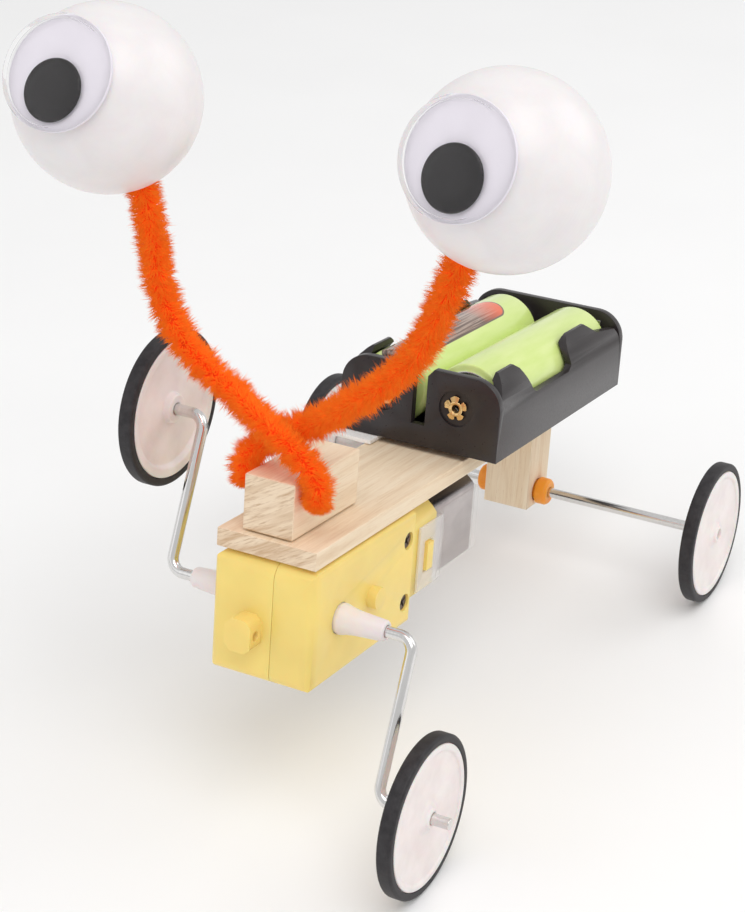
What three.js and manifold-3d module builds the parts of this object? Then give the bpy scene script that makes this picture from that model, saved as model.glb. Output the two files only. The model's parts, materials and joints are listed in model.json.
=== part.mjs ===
// Motor crawler with googly eyes: a plank chassis on a geared motor, two crank-driven front
// wheels and a free rear axle. Millimetres, +Z up, front towards -Y, floor at Z = 0.
import * as THREE from 'three';
import { mergeVertices } from 'three/addons/utils/BufferGeometryUtils.js';
import Module from 'manifold-3d';

const wasm = await Module();
wasm.setup();

// ---- driving dimensions ----
const WHEEL_R = 14;
const WHEEL_W = 2.8;
const WIRE_R = 1;
const CRANK_R = 27.3;
const CRANK_LEAN = 30.3;
const PITCH = 10.43;
const GAP = 0.3;
const RUN = 0.08;

const PLANK = { width: 19, thick: 3.3, front: -8.75, rear: 99 };
const BOX = { front: 44.4, length: 58, width: 32.4, floor: 1.2, end: 1.6, side: 1.3 };
const CELL = { r: 7.1, length: 49.2, nub: 2.6 };
const GEARBOX = { halfWidth: 9.93, front: -9.5, rear: 26.8, halfHeight: 10.86, split: 2.2 };
const SCREW = { v: 24, w: 5.9, head: 1.5, deep: 1.5 };
const SHAFT_END = 18.8;
const ARM_PLANE = 23.85;
const AXLE_V = 92.8;
const BLOCK = 9.5;
const MODULE = 11 / 24;
const PIN_V = 11;
const BALL_R = 15;
const CHENILLE_R = 2.3;
const EYE_R = 9;
const PUPIL_R = 5;
const PUPIL_DROP = 2.7;

// ---- places worked out from them ----
const rad = THREE.MathUtils.degToRad;
const SHAFT_Z = WHEEL_R + CRANK_R * Math.cos(rad(CRANK_LEAN));
const AXLE_W = (WHEEL_R - SHAFT_Z + AXLE_V * Math.sin(rad(PITCH))) / Math.cos(rad(PITCH));
const PLANK_LOW = GEARBOX.halfHeight + GAP;
const PLANK_TOP = PLANK_LOW + PLANK.thick;
const BOX_LOW = PLANK_TOP + 1.2;
const CELL_W = BOX_LOW + BOX.floor + GAP + CELL.r;
const CELL_U = CELL.r + GAP;

// ---- helpers: geometry to solid and back ----
function solid(geometry) {
  const g = geometry.index ? geometry.clone() : geometry;
  g.deleteAttribute('normal');
  g.deleteAttribute('uv');
  const m = mergeVertices(g, 1e-4);
  return new wasm.Manifold(new wasm.Mesh({
    numProp: 3,
    vertProperties: new Float32Array(m.attributes.position.array),
    triVerts: new Uint32Array(m.index.array),
  }));
}

function surface(manifold) {
  const mesh = manifold.getMesh();
  const g = new THREE.BufferGeometry();
  g.setAttribute('position', new THREE.BufferAttribute(new Float32Array(mesh.vertProperties), 3));
  g.setIndex(new THREE.BufferAttribute(new Uint32Array(mesh.triVerts), 1));
  g.computeVertexNormals();
  return g;
}

const cut = (first, ...rest) => surface(rest.reduce((a, b) => a.subtract(solid(b)), solid(first)));
const join = (first, ...rest) => surface(rest.reduce((a, b) => a.add(solid(b)), solid(first)));
const common = (first, ...rest) => surface(rest.reduce((a, b) => a.intersect(solid(b)), solid(first)));

function block(x, y, z) {
  const g = new THREE.BoxGeometry(x[1] - x[0], y[1] - y[0], z[1] - z[0]);
  return g.translate((x[0] + x[1]) / 2, (y[0] + y[1]) / 2, (z[0] + z[1]) / 2);
}

// Rod from a to b along one axis: 'x', 'y' or 'z'.
function rod(axis, r, a, b, sides = 16, rEnd = r) {
  const g = new THREE.CylinderGeometry(rEnd, r, b - a, sides).translate(0, (a + b) / 2, 0);
  if (axis === 'x') g.rotateZ(-Math.PI / 2);
  if (axis === 'z') g.rotateX(Math.PI / 2);
  return g;
}

// Profile of [radius, place] pairs turned about the X axis.
function turned(profile, sides) {
  const points = profile.map(([r, x]) => new THREE.Vector2(r, x));
  return new THREE.LatheGeometry(points, sides).rotateZ(-Math.PI / 2);
}

// Outline in the (y, z) plane pushed along X from x0 to x1.
function plate(shape, x0, x1, curveSegments = 6) {
  const g = new THREE.ExtrudeGeometry(shape, { depth: x1 - x0, bevelEnabled: false, curveSegments });
  return g.rotateX(Math.PI / 2).rotateZ(Math.PI / 2).translate(x0, 0, 0);
}

// Outline in the (x, z) plane pushed along Y from y0 to y1.
function wall(shape, y0, y1, curveSegments = 6) {
  const g = new THREE.ExtrudeGeometry(shape, { depth: y1 - y0, bevelEnabled: false, curveSegments });
  return g.rotateX(Math.PI / 2).translate(0, y1, 0);
}

// Rectangle with its own corner radius at each corner, from the low corner anticlockwise.
function outline(x, y, radii) {
  const [a, b, c, d] = radii;
  const s = new THREE.Shape();
  s.moveTo(x[0] + a, y[0]);
  s.lineTo(x[1] - b, y[0]);
  if (b) s.absarc(x[1] - b, y[0] + b, b, -Math.PI / 2, 0);
  s.lineTo(x[1], y[1] - c);
  if (c) s.absarc(x[1] - c, y[1] - c, c, 0, Math.PI / 2);
  s.lineTo(x[0] + d, y[1]);
  if (d) s.absarc(x[0] + d, y[1] - d, d, Math.PI / 2, Math.PI);
  s.lineTo(x[0], y[0] + a);
  if (a) s.absarc(x[0] + a, y[0] + a, a, Math.PI, Math.PI * 1.5);
  return s;
}

function circle(r, sides) {
  const s = new THREE.Path();
  for (let i = 0; i < sides; i += 1) {
    const t = (2 * Math.PI * i) / sides;
    if (i) s.lineTo(r * Math.cos(t), r * Math.sin(t));
    else s.moveTo(r * Math.cos(t), r * Math.sin(t));
  }
  s.closePath();
  return s;
}

function tube(curve, r, steps, sides = 8) {
  const section = new THREE.Shape(circle(r, sides).getPoints().slice(0, sides));
  return new THREE.ExtrudeGeometry(section, { steps, extrudePath: curve, bevelEnabled: false });
}

// ---- materials ----
function paint(color, roughness = 0.5, metalness = 0) {
  return new THREE.MeshStandardMaterial({ color, roughness, metalness });
}

const YELLOW = paint(0xf3d062, 0.45);
const WOOD = paint(0xe8cfa9, 0.8);
const STEEL = paint(0xc9c9cc, 0.25, 1);
const BRASS = paint(0xd9a860, 0.3, 1);
const BLACK = paint(0x2b2426, 0.35);
const WHITE = paint(0xf0eae8, 0.35);
const MILKY = paint(0xeadfe0, 0.4);
const TYRE = paint(0x242022, 0.7);
const GREEN = paint(0xcfe47a, 0.35);
const ORANGE = paint(0xff5a12, 0.95);
const BUSH = paint(0xffa22b, 0.45);
const CLEAR = paint(0xeef2f4, 0.08);
const COPPER = paint(0xb4693a, 0.4, 1);
const MAGNET = paint(0x4a4548, 0.6);
const FOAM = paint(0xf4f2ee, 0.9);

function add(parent, name, geometry, material) {
  const mesh = new THREE.Mesh(geometry, material);
  mesh.name = name;
  parent.add(mesh);
  return mesh;
}

const car = new THREE.Group();
const chassis = new THREE.Group();
chassis.position.z = SHAFT_Z;
chassis.rotation.x = -rad(PITCH);
car.add(chassis);

// ---- wood and tape ----
function woodwork() {
  const { width, front, rear } = PLANK;
  add(chassis, 'deck_plank', block([-width / 2, width / 2], [front, rear], [PLANK_LOW, PLANK_TOP]), WOOD);
  const neckLow = PLANK_TOP + GAP;
  add(chassis, 'neck_block', block([-5.4, 4.1], [-7.6, 14.4], [neckLow, neckLow + 9.8]), WOOD);
  const half = BLOCK / 2;
  const blockEnd = -9.96;
  const axleBlock = block([-half, half], [AXLE_V - half, AXLE_V + half], [blockEnd, PLANK_LOW - GAP]);
  const seat = rod('x', 2 + GAP, -6, 6, 16).translate(0, AXLE_V, AXLE_W);
  add(chassis, 'axle_block', cut(axleBlock, seat), WOOD);
  const layer = [PLANK_TOP + 0.2, BOX_LOW - 0.2];
  const tape = join(block([-8.6, 8.6], [48.5, 98], layer), block([-16.8, -8], [41.6, 66], layer));
  add(chassis, 'battery_tape', tape, FOAM);
}

// ---- gearbox shell in two halves ----
function gearboxOuter() {
  const { halfWidth: hw, front, rear, halfHeight: hh } = GEARBOX;
  const side = plate(outline([front, rear], [-hh, hh], [2, 1, 1, 3]), -hw, hw, 4);
  const plan = new THREE.ExtrudeGeometry(
    outline([-hw, hw], [front, rear], [2.5, 2.5, 1, 1]),
    { depth: 2 * hh + 2, bevelEnabled: false, curveSegments: 4 },
  ).translate(0, 0, -hh - 1);
  const face = wall(outline([-hw, hw], [-hh, hh], [2.6, 1.6, 1.4, 3.4]), front - 1, rear + 1, 4);
  return common(side, plan, face);
}

function gearbox() {
  const { halfWidth: hw, front, rear, split } = GEARBOX;
  const cavity = plate(outline([front + 1.3, 20.6], [-9.5, 9.5], [2, 0, 0, 2]), -8.6, 8.6, 3);
  const nub = rod('x', 2, 0, hw + 1.8, 16).translate(0, PIN_V, 0);
  const nubLeft = rod('x', 2, -hw - 1.8, 0, 16).translate(0, PIN_V, 0);
  const bores = [
    rod('x', 2.7 + RUN + 0.04, -12, 12, 16),
    rod('x', 1 + RUN, -hw - 0.6, hw + 1.2, 12).translate(0, PIN_V, 0),
    rod('y', 1 + 0.5, 18, 30, 16),
    rod('y', 3.1, rear - 2, 30, 16),
    ...[-1, 1].flatMap((s) => [
      rod('x', 1.2, -12, 12, 12),
      rod('x', SCREW.head + 0.15, hw - SCREW.deep, 12, 16),
    ].map((g) => g.translate(0, SCREW.v, s * SCREW.w))),
  ];
  const whole = join(gearboxOuter(), nub, nubLeft, ...collar());
  const hollow = cut(whole, cavity, ...bores);
  const right = common(hollow, block([split + 0.05, 30], [-30, 60], [-30, 30]));
  const left = common(hollow, block([-30, split - 0.05], [-30, 60], [-30, 30]));
  const lugEdge = new THREE.Shape([[-4.6, -3.4], [-3.4, -4.6], [-0.7, -4.6], [0.4, -3.6], [0.4, 0.2],
    [-0.7, 1.3], [-3.2, 1.3], [-4.6, 0]].map((p) => new THREE.Vector2(...p)));
  const lug = wall(lugEdge, front - 3.7, front + 0.6);
  const lugHole = rod('x', 0.9, -6, 6, 12).translate(0, front - 1.9, -1.7);
  add(chassis, 'gearbox_left', cut(join(left, lug), lugHole), YELLOW);
  add(chassis, 'gearbox_right', right, YELLOW);
  add(chassis, 'gear_pin', rod('x', 1, -hw - 0.4, hw + 1, 12).translate(0, PIN_V, 0), STEEL);
  for (const [name, s] of [['upper', 1], ['lower', -1]]) {
    const head = rod('x', SCREW.head, hw - SCREW.deep + 0.15, hw - 0.45, 16);
    const slots = [0, Math.PI / 2].map((a) => (
      block([hw - 1, hw + 1], [-1.1, 1.1], [-0.22, 0.22]).rotateX(a + 0.5)));
    const shank = rod('x', 0.9, -hw - 0.3, hw - 0.8, 12);
    add(chassis, `screw_${name}`, cut(join(shank, head), ...slots).translate(0, SCREW.v, s * SCREW.w), STEEL);
  }
}

// Collar round the front of the motor, with a catch on each flat for the clear strap.
function collar() {
  const rear = GEARBOX.rear + 10.4;
  const outer = common(
    rod('y', 11.1, 26, rear, 40),
    block([-8.7, 8.7], [20, 60], [-10.8, 10.8]),
  );
  const inner = common(
    rod('y', 10.3, 20, rear + 5, 40),
    block([-7.8, 7.8], [26.9, 60], [-20, 20]),
  );
  const ring = cut(outer, inner, block([-20, 20], [26.9, 60], [-20, -7.2]));
  const catches = [-1, 1].map((s) => block([s * 9.2 - 0.7, s * 9.2 + 0.7], [32.2, 34.4], [-2.6, 2.6]));
  return [ring, ...catches];
}

// ---- output shaft, shaft ends and gears ----
function gear(teeth, x0, x1, bore, toothAtZero) {
  const pitchR = (teeth * MODULE) / 2;
  const [root, tip] = [pitchR - 1.25 * MODULE, pitchR + 0.8 * MODULE];
  const step = (2 * Math.PI) / teeth;
  const turn = toothAtZero ? 0 : step / 2;
  const s = new THREE.Shape();
  for (let i = 0; i < teeth; i += 1) {
    const at = i * step + turn;
    const half = [[root, 0.34], [tip, 0.13]].map(([r, k]) => [r, (k * step * pitchR) / r]);
    const corners = [[half[0][0], -half[0][1]], [half[1][0], -half[1][1]],
      [half[1][0], half[1][1]], [half[0][0], half[0][1]]];
    corners.forEach(([r, a], j) => {
      const p = [r * Math.cos(at + a), r * Math.sin(at + a)];
      if (i + j) s.lineTo(...p);
      else s.moveTo(...p);
    });
  }
  s.closePath();
  s.holes.push(circle(bore, 12));
  return plate(s, x0, x1);
}

function hub(r, bore, x0, x1) {
  const s = new THREE.Shape(circle(r, 12).getPoints().slice(0, 12));
  s.holes.push(circle(bore, 12));
  return plate(s, x0, x1);
}

// Crown wheel: a disc with block teeth standing off one face.
function crown(bore) {
  const teeth = [];
  for (let i = 0; i < 32; i += 1) {
    teeth.push(block([1.45, 2.6], [6.3, 8.3], [-0.2, 0.2]).rotateX((i * Math.PI) / 16));
  }
  return join(hub(8.35, bore, 2.45, 3.5), ...teeth);
}

function shaftEnd(side) {
  const profile = [[1.6, 8], [2.7, 8], [2.7, 10.2], [2.75, 10.3], [2.75, 10.6], [2.45, 11.6], [2.2, 13.2],
    [1.85, SHAFT_END - 0.4], [1.6, SHAFT_END], [WIRE_R + RUN, SHAFT_END], [WIRE_R + RUN, 12],
    [1.6, 11.9], [1.6, 8]];
  const g = turned(profile, 20);
  return side > 0 ? g : g.rotateZ(Math.PI);
}

function gearTrain() {
  const bore = 1.6;
  const onPin = (g) => g.translate(0, PIN_V, 0);
  add(chassis, 'output_shaft', rod('x', 1.5, -11.5, 11.5, 16), WHITE);
  add(chassis, 'left_shaft_end', shaftEnd(-1), WHITE);
  add(chassis, 'right_shaft_end', shaftEnd(1), WHITE);
  add(chassis, 'output_gear', join(gear(32, -7, -4.9, bore, true), hub(3, bore, -7.7, -4.9)), WHITE);
  const second = join(
    gear(32, 3.9, 5.7, bore, true),
    gear(12, -4.5, -2.3, bore, true),
    hub(2.15, bore, -3, 4),
  );
  add(chassis, 'second_gear', second, WHITE);
  const third = join(
    gear(36, -4.4, -2.6, 1.1, false),
    gear(16, -7.2, -4.2, 1.1, false),
    hub(2, 1.1, -3, 0.2),
  );
  add(chassis, 'third_gear', onPin(third), WHITE);
  const first = join(crown(1.1), gear(16, 3.3, 6, 1.1, false), hub(2, 1.1, 0.6, 4));
  add(chassis, 'first_gear', onPin(first), WHITE);
}

// ---- motor ----
function motorProfile(r, half, y0, y1, sides = 32) {
  return common(rod('y', r, y0, y1, sides), block([-half, half], [y0 - 5, y1 + 5], [-20, 20]));
}

function motor() {
  const front = GEARBOX.rear + 0.4;
  const rear = 55.4;
  const windows = [-1, 1].map((s) => block([-5, 5], [44.5, 52.5], [s * 10 - 3, s * 10 + 3]));
  const can = cut(
    join(motorProfile(10, 7.5, front, rear), rod('y', 2.8, front - 1.4, front + 0.5, 16)),
    motorProfile(9.2, 6.7, front + 0.8, rear + 5),
    rod('y', WIRE_R + 0.3, 20, 30, 16),
    ...windows,
  );
  add(chassis, 'motor_can', can, STEEL);
  const bell = cut(
    join(motorProfile(8.9, 6.4, rear - 2.6, rear - 0.4, 24), rod('y', 3, rear - 3, rear + 0.6, 16)),
    rod('y', WIRE_R + RUN + 0.04, 40, 60, 12),
    ...[-1, 1].map((s) => block([-1.5, 1.5], [40, 60], [s * 7.2 - 0.5, s * 7.2 + 0.5])),
  );
  add(chassis, 'motor_end_bell', bell, BLACK);
  for (const [name, s] of [['upper', 1], ['lower', -1]]) {
    const arc = common(
      cut(rod('y', 8.9, 30, 44, 24), rod('y', 7.2, 20, 60, 24)),
      block([-5.6, 5.6], [20, 60], [Math.min(s * 3, s * 12), Math.max(s * 3, s * 12)]),
    );
    add(chassis, `magnet_${name}`, arc, MAGNET);
    const tab = block([-1.2, 1.2], [rear - 5.5, rear + 3.6], [s * 7.2 - 0.2, s * 7.2 + 0.2]);
    add(chassis, `terminal_${name}`, tab, BRASS);
  }
  add(chassis, 'motor_shaft', rod('y', WIRE_R, 16.6, rear + 0.9, 12), STEEL);
  const poles = [0, 1, 2].map((i) => block([-1.4, 1.4], [32, 42], [0.5, 5.6]).rotateY((i * 2 * Math.PI) / 3));
  const faces = [0, 1, 2].map((i) => common(
    rod('y', 6.6, 31, 43, 24),
    block([-4.2, 4.2], [31, 43], [5, 9]),
  ).rotateY((i * 2 * Math.PI) / 3));
  const core = cut(join(rod('y', 3, 31, 43, 16), ...poles, ...faces), rod('y', WIRE_R + 0.1, 20, 60, 12));
  add(chassis, 'rotor_core', core, COPPER);
  add(chassis, 'commutator', cut(rod('y', 2.2, 44, 49, 16), rod('y', WIRE_R + 0.1, 20, 60, 12)), COPPER);
  const cog = new THREE.Shape();
  for (let i = 0; i < 8; i += 1) {
    [[1.35, -0.26], [2.15, -0.09], [2.15, 0.09], [1.35, 0.26]].forEach(([r, a], j) => {
      const t = ((i + 0.5) * Math.PI) / 4 + a;
      if (i + j) cog.lineTo(r * Math.cos(t), r * Math.sin(t));
      else cog.moveTo(r * Math.cos(t), r * Math.sin(t));
    });
  }
  cog.closePath();
  cog.holes.push(circle(WIRE_R + 0.1, 12));
  add(chassis, 'motor_pinion', wall(cog, 17.1, 19.5), WHITE);
}

// Clear strap: over the catches on the collar, stepping in to the can's flats, across its rear end.
function strapBody(inset, front, z) {
  const half = [[8.9, front], [8.9, 38.4], [7.7, 40.4], [7.7, 55.7]];
  const right = half.map(([x, y], i) => new THREE.Vector2(x + inset, i ? y + inset : y));
  const left = right.map((p) => new THREE.Vector2(-p.x, p.y)).reverse();
  const shape = new THREE.Shape([...right, ...left]);
  return new THREE.ExtrudeGeometry(shape, { depth: z[1] - z[0], bevelEnabled: false }).translate(0, 0, z[0]);
}

function strap() {
  const windows = block([-20, 20], [31.8, 34.8], [-3, 3]);
  const mouth = block([-3.6, 3.6], [50, 60], [-3.6, 3.6]);
  const band = cut(strapBody(0.55, 29.8, [-6.4, 6.2]), strapBody(0, 20, [-20, 20]), windows, mouth);
  add(chassis, 'motor_strap', band, CLEAR);
}

// ---- battery box, cells and contacts ----
function endWall(inner) {
  const h = BOX.width / 2;
  const [low, top] = [BOX_LOW, BOX_LOW + 15];
  const s = new THREE.Shape();
  s.moveTo(-h, low);
  s.lineTo(h, low);
  s.lineTo(h, top - 5.5);
  s.absarc(h - 5.5, top - 5.5, 5.5, 0, Math.PI / 2);
  if (inner) {
    s.lineTo(2.6, top);
    s.lineTo(1.4, top - 1.4);
    s.lineTo(1.4, low + 4);
    s.lineTo(-1.4, low + 4);
    s.lineTo(-1.4, top - 1.4);
    s.lineTo(-2.6, top);
  }
  s.lineTo(-h + 5.5, top);
  s.absarc(-h + 5.5, top - 5.5, 5.5, Math.PI / 2, Math.PI);
  s.closePath();
  return s;
}

function sideWall() {
  const [y0, y1] = [BOX.front, BOX.front + BOX.length];
  const [low, dip, top] = [BOX_LOW, BOX_LOW + 9.6, BOX_LOW + 15.4];
  const s = new THREE.Shape();
  s.moveTo(y0, low);
  s.lineTo(y1, low);
  s.lineTo(y1, top - 7);
  s.lineTo(y1 - 3, top - 3);
  s.lineTo(y1 - 11, top - 2);
  s.lineTo(y1 - 14, top);
  s.lineTo(y1 - 22, top);
  s.quadraticCurveTo(y1 - 26.5, top - 1, y1 - 25.5, dip + 1);
  s.lineTo(y1 - 27, dip);
  s.lineTo(y0 + 17, dip);
  s.quadraticCurveTo(y0 + 15, dip, y0 + 14.2, dip + 2);
  s.lineTo(y0 + 12.6, top - 0.8);
  s.lineTo(y0 + 11.4, top);
  s.lineTo(y0 + 5, top);
  s.lineTo(y0 + 2.4, dip + 3);
  s.lineTo(y0, dip);
  s.closePath();
  return s;
}

// Side walls: upright below the cells' middle, then curled in over them, and cut to the silhouette.
function sideShell() {
  const { front, length, width, side, floor } = BOX;
  const h = width / 2;
  const curl = h - CELL_U;
  const lip = 12.4;
  const run = [front + 0.2, front + length - 0.2];
  const all = [0, 200];
  const between = (a, b) => [Math.min(a, b), Math.max(a, b)];
  const walls = [-1, 1].map((s) => {
    const at = (g) => g.translate(s * CELL_U, 0, CELL_W);
    return cut(
      join(at(rod('y', curl, ...run, 40)), block(between(s * h, s * CELL_U), run, [BOX_LOW, CELL_W])),
      at(rod('y', curl - side, ...all, 40)),
      block(between(s * (h - side), 0), all, [BOX_LOW + floor - 0.2, CELL_W]),
      block(between(s * lip, -s * lip), all, [BOX_LOW + 2, 60]),
    );
  });
  const foot = block([-h + 1, h - 1], run, [BOX_LOW, BOX_LOW + 1]);
  return common(join(...walls, foot), plate(sideWall(), -30, 30));
}

function batteryBox() {
  const { front, length, width, floor, end } = BOX;
  const h = width / 2;
  const rear = front + length;
  const base = block([-h, h], [front, rear], [BOX_LOW, BOX_LOW + floor]);
  const ridge = block([-0.5, 0.5], [front + 8, rear - 8], [BOX_LOW, BOX_LOW + 4]);
  const sides = sideShell();
  const rivetSeat = (u) => rod('y', 3.4, front - 1, front + 0.5, 24).translate(u, 0, CELL_W);
  const rivetHole = (u) => rod('y', 1.3, front - 2, front + 3, 16).translate(u, 0, CELL_W);
  const holes = [-1, 1].flatMap((s) => [rivetSeat(s * CELL_U), rivetHole(s * CELL_U)]);
  const frontWall = wall(endWall(true), front, front + end);
  const rearWall = wall(endWall(false), rear - end, rear);
  const box = join(base, frontWall, rearWall, sides, ridge);
  add(chassis, 'battery_box', cut(box, ...holes), BLACK);
  for (const [name, s] of [['left', -1], ['right', 1]]) {
    cell(name, s);
  }
}

// A cell with its nub at one end, a coil against its flat end and a leaf against the nub.
function cell(name, s) {
  const u = s * CELL_U;
  const room = [BOX.front + BOX.end, BOX.front + BOX.length - BOX.end];
  const turn = s > 0 ? 1 : -1;
  const middle = (room[0] + room[1]) / 2;
  const place = (g) => (turn > 0 ? g : g.rotateZ(Math.PI)).translate(u, middle, CELL_W);
  const half = (room[1] - room[0]) / 2;
  const lo = -half + 3.4;
  const far = lo + CELL.length;
  const profile = [[0, lo], [6.4, lo], [CELL.r, lo + 0.5], [CELL.r, far - 0.9], [6.5, far - 0.3],
    [CELL.nub, far - 0.3], [CELL.nub, far + 0.8], [0, far + 0.8]];
  const body = new THREE.LatheGeometry(profile.map(([r, y]) => new THREE.Vector2(r, y)), 22);
  add(chassis, `${name}_cell`, place(body), GREEN);
  const coil = new Coil(4.6, 1.6, -half + 0.7, lo - 0.5, 2.5);
  add(chassis, `${name}_contact_spring`, place(tube(coil, 0.3, 30, 6)), STEEL);
  const leaf = block([-4.5, 4.5], [half - 0.6, half - 0.2], [-5.5, 4.5]);
  add(chassis, `${name}_contact_leaf`, place(leaf), STEEL);
  const rivet = cut(
    join(rod('y', 2.5, -0.9, -0.35, 16), rod('y', 1.1, -0.5, 0.95, 12)).translate(0, BOX.front + 0.6, 0),
    rod('y', 0.7, BOX.front - 3, BOX.front + 0.9, 12),
    block([-0.25, 0.25], [BOX.front - 3, BOX.front - 0.05], [-4, 4]).rotateY(0.6),
  );
  add(chassis, `${name}_rivet`, rivet.translate(u, 0, CELL_W), BRASS);
}

class Coil extends THREE.Curve {
  constructor(r0, r1, y0, y1, turns) {
    super();
    Object.assign(this, { r0, r1, y0, y1, turns });
  }

  getPoint(t, target = new THREE.Vector3()) {
    const r = THREE.MathUtils.lerp(this.r0, this.r1, t);
    const a = 2 * Math.PI * this.turns * t;
    return target.set(r * Math.cos(a), THREE.MathUtils.lerp(this.y0, this.y1, t), r * Math.sin(a));
  }
}

// ---- wheels, cranks and rear axle ----
function wheelParts(bore) {
  const w = WHEEL_W;
  const disc = turned([[bore, -0.3], [2.6, -0.3], [2.9, 0.9], [10.6, 1.1], [11, 0.2], [12.4, 0],
    [12.4, w], [11, w], [10.8, w - 0.5], [2.8, w - 0.5], [2.2, w + 0.5], [bore, w + 0.5], [bore, -0.3]], 30);
  const tyre = turned([[12.55, 0.1], [13.7, 0.1], [WHEEL_R, 0.4], [WHEEL_R, w - 0.4], [13.7, w - 0.1],
    [12.55, w - 0.1], [12.55, 0.1]], 30);
  return { disc, tyre };
}

// A wheel whose inner face is |x| from the middle; dir says which side it faces.
function wheel(parent, name, x, dir, y, z, bore) {
  const { disc, tyre } = wheelParts(bore);
  for (const [part, geometry, material] of [['disc', disc, MILKY], ['tyre', tyre, TYRE]]) {
    const g = dir > 0 ? geometry : geometry.rotateZ(Math.PI);
    add(parent, `${name}_${part}`, g.translate(dir * x, y, z), material);
  }
}

function crank(side, wheelAt, tip) {
  const bend = 2.6;
  const reach = -side * CRANK_R;
  const p = (x, z) => new THREE.Vector3(side * x, 0, z);
  const path = new THREE.CurvePath();
  const s = Math.sign(reach);
  path.add(new THREE.LineCurve3(p(12.6, 0), p(ARM_PLANE - bend, 0)));
  path.add(new THREE.QuadraticBezierCurve3(p(ARM_PLANE - bend, 0), p(ARM_PLANE, 0), p(ARM_PLANE, s * bend)));
  path.add(new THREE.LineCurve3(p(ARM_PLANE, s * bend), p(ARM_PLANE, reach - s * bend)));
  path.add(new THREE.QuadraticBezierCurve3(
    p(ARM_PLANE, reach - s * bend), p(ARM_PLANE, reach), p(ARM_PLANE + bend, reach)));
  path.add(new THREE.LineCurve3(p(ARM_PLANE + bend, reach), p(tip, reach)));
  const name = side > 0 ? 'right' : 'left';
  add(drive, `${name}_crank`, tube(path, WIRE_R, 36), STEEL);
  wheel(drive, `${name}_front_wheel`, wheelAt, side, 0, reach, WIRE_R + RUN);
}

const drive = new THREE.Group();
drive.position.z = SHAFT_Z;
drive.rotation.x = -rad(CRANK_LEAN);
car.add(drive);

function rearAxle() {
  const at = [AXLE_V, AXLE_W];
  add(chassis, 'rear_axle', rod('x', WIRE_R, -44.6, 43.3, 12).translate(0, ...at), STEEL);
  for (const [name, s] of [['left', -1], ['right', 1]]) {
    const bush = turned([[WIRE_R + RUN, 1.6], [1.95, 1.6], [1.95, 5.05], [2.7, 5.05], [2.7, 7.6],
      [WIRE_R + RUN, 7.6], [WIRE_R + RUN, 1.6]], 18);
    add(chassis, `${name}_bush`, (s > 0 ? bush : bush.rotateZ(Math.PI)).translate(0, ...at), BUSH);
  }
  wheel(chassis, 'left_rear_wheel', 45 - WHEEL_W, -1, ...at, WIRE_R + 0.04);
  wheel(chassis, 'right_rear_wheel', 43.7 - WHEEL_W, 1, ...at, WIRE_R + 0.04);
}

// ---- chenille stems and eyes ----
// Route points by hand, from the tail beside the neck block to the inside of the eyeball.
const STEMS = {
  left: [[6.9, -5, 21.6], [7.1, -5, 23.2], [6.7, -5.3, 25.4], [4.6, -5.7, 27.8], [1.8, -6.1, 30.4],
    [-3.6, -6.2, 33.6], [-9.3, -5, 36.6], [-14.3, -5.3, 39.6], [-18.7, -6.7, 44.2], [-21.3, -8.5, 50.3],
    [-22.1, -10.4, 57], [-22.1, -12.7, 65], [-22.6, -14.2, 70], [-23.2, -15.4, 74]],
  right: [[-8.2, -2.6, 21.8], [-8.5, -2.6, 23.4], [-8, -2.4, 25.8], [-5.6, -1.6, 28.2], [-1.4, -0.9, 30.8],
    [3.8, -1, 33.6], [9.1, -3.6, 37.4], [14.6, -5.8, 41.6], [20.3, -7.6, 46.4], [24.7, -9.2, 51.5],
    [27.9, -10.9, 57], [30.6, -12.6, 62.6], [33.2, -14.2, 68.4], [35.2, -15.4, 73]],
};
const EYES = {
  left: { centre: [-28.1, -16.8, 84.4], look: [0.008, -0.922, 0.388] },
  right: { centre: [39.5, -14.3, 83.7], look: [-0.097, -0.961, 0.259] },
};

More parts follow.
